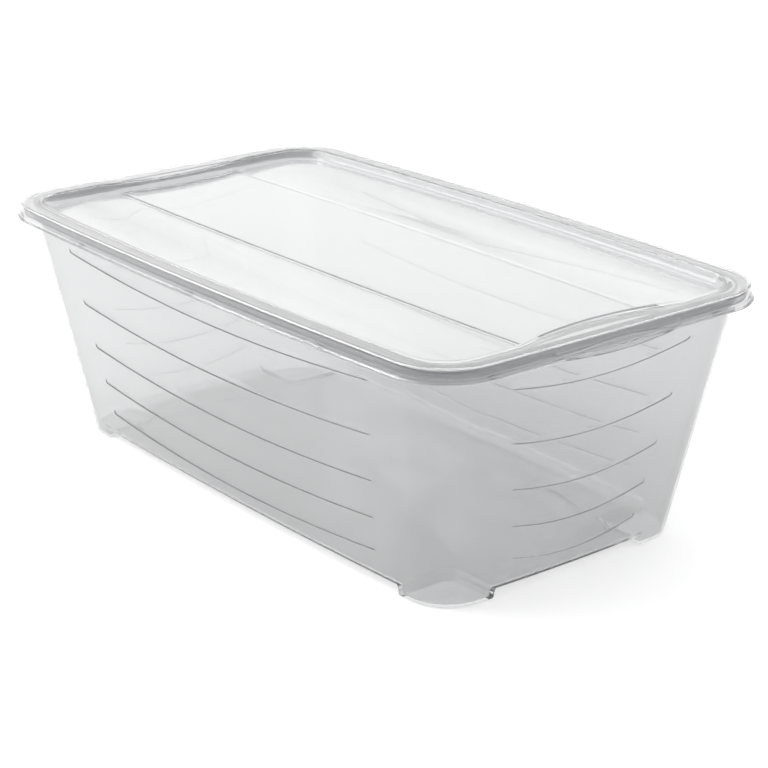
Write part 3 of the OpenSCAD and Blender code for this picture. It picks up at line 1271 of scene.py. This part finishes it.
@dataclass(frozen=True)
class ClearPlastic:
    """Clear, slightly grey moulded plastic with a glossy outer skin.

    Attributes:
        name: the material's name.
        body: colour of the plastic seen straight on.
        edge: colour of the plastic seen edge on, where more of it is in the way.
        side_shade: painted shade, a darker tint of the outward upright faces, such as the lid's
            skirt, behind which more skins lie.
        clear: share of light that passes through instead of being scattered.
        haze: roughness of the plastic.
        gloss: roughness of its glossy skin.
        flow: strength of the faint flow pattern.
        scuff: strength of the faint scuffs.
        bend: how strongly the plastic bends light.
        skin_bend: how strongly its glossy skin bends light.
        glint: grey of the mirror reflection under the skin.
        edge_blend: how far the edge colour reaches into the body colour.
        bump: strength of the relief.
        relief: height of the relief in metres.
    """

    name: str
    body: Colour
    edge: Colour
    side_shade: Colour
    clear: float = 0.95
    haze: float = 0.02
    gloss: float = 0.1
    flow: float = 0.02
    scuff: float = 0.05
    bend: float = 1.25
    skin_bend: float = 1.49
    glint: float = 0.5
    edge_blend: float = 0.25
    bump: float = 0.15
    relief: float = 0.0004

    def build(self) -> bpy.types.Material:
        """Build the material.

        Returns:
            The material.
        """
        material = bpy.data.materials.new(self.name)
        material.use_nodes = True
        tree = material.node_tree
        tree.nodes.clear()
        nodes = Nodes(tree)
        out = nodes.add("ShaderNodeOutputMaterial")
        shader = nodes.add("ShaderNodeBsdfPrincipled")
        shader.inputs["IOR"].default_value = self.bend
        shader.inputs["Transmission Weight"].default_value = self.clear
        shader.inputs["Coat Weight"].default_value = 1.0
        shader.inputs["Coat Roughness"].default_value = self.gloss
        shader.inputs["Coat IOR"].default_value = self.skin_bend
        shader.inputs["Specular Tint"].default_value = (self.glint, self.glint, self.glint, 1.0)
        skin = nodes.add("ShaderNodeGroup", node_tree=moulded_skin())
        skin.inputs["Flow"].default_value = self.flow
        skin.inputs["Scuff"].default_value = self.scuff
        skin.inputs["Haze"].default_value = self.haze
        turn = nodes.add("ShaderNodeLayerWeight")
        turn.inputs["Blend"].default_value = self.edge_blend
        colour = nodes.add("ShaderNodeMix", data_type="RGBA")
        colour.inputs["A"].default_value = (*self.body, 1)
        colour.inputs["B"].default_value = (*self.edge, 1)
        nodes.link(turn.outputs["Facing"], colour.inputs["Factor"])
        toned = nodes.add("ShaderNodeMix", data_type="RGBA", blend_type="MULTIPLY")
        toned.inputs["Factor"].default_value = 1.0
        nodes.link(colour.outputs["Result"], toned.inputs["A"])
        nodes.link(skin.outputs["Tone"], toned.inputs["B"])
        # Painted shade: the outward upright faces are multiplied by the darker side tint
        side_shaded = nodes.add("ShaderNodeMix", data_type="RGBA", blend_type="MULTIPLY")
        side_shaded.inputs["B"].default_value = (*self.side_shade, 1)
        nodes.link(skin.outputs["Side Shade"], side_shaded.inputs["Factor"])
        nodes.link(toned.outputs["Result"], side_shaded.inputs["A"])
        nodes.link(side_shaded.outputs["Result"], shader.inputs["Base Color"])
        nodes.link(skin.outputs["Haze"], shader.inputs["Roughness"])
        bump = nodes.add("ShaderNodeBump")
        bump.inputs["Strength"].default_value = self.bump
        bump.inputs["Distance"].default_value = self.relief
        nodes.link(skin.outputs["Height"], bump.inputs["Height"])
        nodes.link(bump.outputs["Normal"], shader.inputs["Normal"])
        nodes.link(shader.outputs["BSDF"], out.inputs["Surface"])
        return material


def dress(tub: bpy.types.Object, lid: bpy.types.Object) -> None:
    """Give the tub and the lid their plastics.

    Args:
        tub: the finished tub.
        lid: the finished lid.
    """
    tub_plastic = ClearPlastic(
        name="clear_tub",
        body=(0.78, 0.785, 0.79),
        edge=(0.36, 0.36, 0.36),
        side_shade=(1.0, 1.0, 1.0),
    )
    lid_plastic = ClearPlastic(
        name="clear_lid",
        body=(0.755, 0.76, 0.765),
        edge=(0.6, 0.6, 0.6),
        # Painted shade: the lid's outward upright faces, its skirt above all, are tinted darker
        side_shade=(0.82, 0.82, 0.825),
    )
    for piece, plastic in ((tub, tub_plastic), (lid, lid_plastic)):
        piece.data.materials.clear()
        piece.data.materials.append(plastic.build())


# --------------------------------------------------------------------------
# Studio
# --------------------------------------------------------------------------


@dataclass
class Studio:
    """Pale floor, soft lights and the camera.

    Attributes:
        camera_aim: the point that the camera looks at, in millimetres.
        camera_distance: its distance from that point, in millimetres.
        camera_turn: its turn round the box from positive x, in degrees.
        camera_rise: its height above the horizon, in degrees.
        camera_roll: its roll, in degrees.
        lens: its focal length, in millimetres.
        sensor: the width of its sensor, in millimetres.
        near: the nearest distance that it sees, in metres.
        bright_side: direction of the brightest surroundings.
        fade: where the surroundings begin and end to brighten, towards that side.
        dark: strength of the surroundings on the dark side.
        bright: strength of the surroundings on the bright side.
        floor_half: half the floor's width, in metres.
        floor_grey: brightness of the floor's colour.
        floor_glow: strength of the floor's own light, which keeps it even.
        softbox_place: place of the softbox, in metres.
        softbox_aim: the point that it lights, in metres.
        softbox_size: width of the softbox, in metres.
        softbox_power: its power, in watts.
    """

    camera_aim: Point = (3.9, 9.4, 44.0)
    camera_distance: float = 1000.0
    camera_turn: float = -38.44
    camera_rise: float = 20.17
    camera_roll: float = 0.17
    lens: float = 99.27
    sensor: float = 36.0
    near: float = 0.01
    bright_side: Point = (-0.75, 0.4, 0.6)
    fade: tuple[float, float] = (-0.6, 0.8)
    dark: float = 0.4
    bright: float = 1.3
    floor_half: float = 6.0
    floor_grey: float = 0.6
    floor_glow: float = 0.55
    softbox_place: Point = (-0.8, -0.7, 0.9)
    softbox_aim: Point = (-0.2, 0.0, 0.0)
    softbox_size: float = 1.2
    softbox_power: float = 14.0

    def floor(self) -> bpy.types.Object:
        """Build the pale floor under the box.

        Returns:
            The floor.
        """
        bm = bmesh.new()
        bmesh.ops.create_grid(bm, x_segments=2, y_segments=2, size=self.floor_half)
        piece = new_object(bm, "floor")
        material = bpy.data.materials.new("pale_floor")
        material.use_nodes = True
        shader = material.node_tree.nodes["Principled BSDF"]
        grey = self.floor_grey
        shader.inputs["Base Color"].default_value = (grey, grey, grey, 1)
        shader.inputs["Roughness"].default_value = 0.9
        shader.inputs["Specular IOR Level"].default_value = 0.0
        shader.inputs["Emission Color"].default_value = (1, 1, 1, 1)
        shader.inputs["Emission Strength"].default_value = self.floor_glow
        piece.data.materials.append(material)
        return piece

    def camera(self) -> bpy.types.Object:
        """Build the camera at the viewing angle.

        Returns:
            The camera.
        """
        data = bpy.data.cameras.new("camera")
        data.lens = self.lens
        data.sensor_width = self.sensor
        data.clip_start = self.near
        camera = bpy.data.objects.new("camera", data)
        turn, rise = math.radians(self.camera_turn), math.radians(self.camera_rise)
        back = Vector(
            (math.cos(rise) * math.cos(turn), math.cos(rise) * math.sin(turn), math.sin(rise))
        )
        right = Vector((0, 0, 1)).cross(back).normalized()
        right.rotate(Quaternion(back, -math.radians(self.camera_roll)))
        facing = Matrix((right, back.cross(right), back)).transposed().to_4x4()
        place = Vector(self.camera_aim) + back * self.camera_distance
        camera.matrix_world = Matrix.Translation(place * MM) @ facing
        bpy.context.scene.collection.objects.link(camera)
        bpy.context.scene.camera = camera
        return camera

    def world(self) -> None:
        """Set the surroundings: a bright back and top, and a darker front and right."""
        world = bpy.data.worlds.new("soft_room")
        world.use_nodes = True
        tree = world.node_tree
        nodes = Nodes(tree)
        back = tree.nodes["Background"]
        place = nodes.add("ShaderNodeTexCoord")
        aim = nodes.add("ShaderNodeVectorMath", operation="DOT_PRODUCT")
        aim.inputs[1].default_value = Vector(self.bright_side).normalized()
        nodes.link(place.outputs["Generated"], aim.inputs[0])
        ramp = nodes.ramp(aim.outputs["Value"], *self.fade, Ramp.SMOOTH)
        ramp.inputs["To Min"].default_value = self.dark
        ramp.inputs["To Max"].default_value = self.bright
        nodes.link(ramp.outputs["Result"], back.inputs["Strength"])
        back.inputs["Color"].default_value = (1, 1, 1, 1)
        bpy.context.scene.world = world

    def softbox(self) -> bpy.types.Object:
        """Build the large soft light at the left of the box.

        Returns:
            The light.
        """
        data = bpy.data.lights.new("softbox", "AREA")
        data.shape = "SQUARE"
        data.size = self.softbox_size
        data.energy = self.softbox_power
        light = bpy.data.objects.new("softbox", data)
        place = Vector(self.softbox_place)
        aim = (Vector(self.softbox_aim) - place).to_track_quat("-Z", "Y")
        light.matrix_world = Matrix.Translation(place) @ aim.to_matrix().to_4x4()
        bpy.context.scene.collection.objects.link(light)
        return light

    def build(self) -> None:
        """Build the whole studio."""
        self.floor()
        self.softbox()
        self.camera()
        self.world()
        bpy.context.scene.view_settings.view_transform = "Standard"


def main() -> None:
    """Build the box and its studio in order."""
    logging.basicConfig(level=logging.INFO, format="%(name)s: %(message)s")
    tub = Tub().build()
    lid = Lid().build()
    dress(tub, lid)
    for piece in (tub, lid):
        LOG.info("%s: %d faces", piece.name, len(piece.data.polygons))
    Studio().build()


if __name__ == "__main__":
    main()
